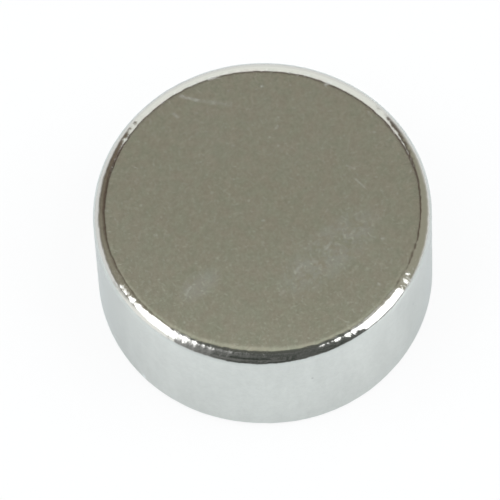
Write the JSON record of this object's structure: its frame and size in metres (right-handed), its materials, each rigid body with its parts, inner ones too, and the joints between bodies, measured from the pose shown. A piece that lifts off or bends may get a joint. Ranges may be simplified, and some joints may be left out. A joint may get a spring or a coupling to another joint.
{
  "type": "disc magnet",
  "caption": "Short solid disc magnet with two flat pole faces, a straight bright rim and rounded, tumbled edges.",
  "frame": {"origin": "centre of the lower pole face", "axes": "+Z along the disc's axis, from the lower pole face to the upper one; X and Y lie in the lower pole face"},
  "size_m": [0.009, 0.009, 0.004],
  "materials": {
    "nickel": "nickel plated: satin ground pole faces, brighter tumbled rim and edges"
  },
  "bodies": {
    "root": {"magnet": "nickel"}
  },
  "joints": []
}
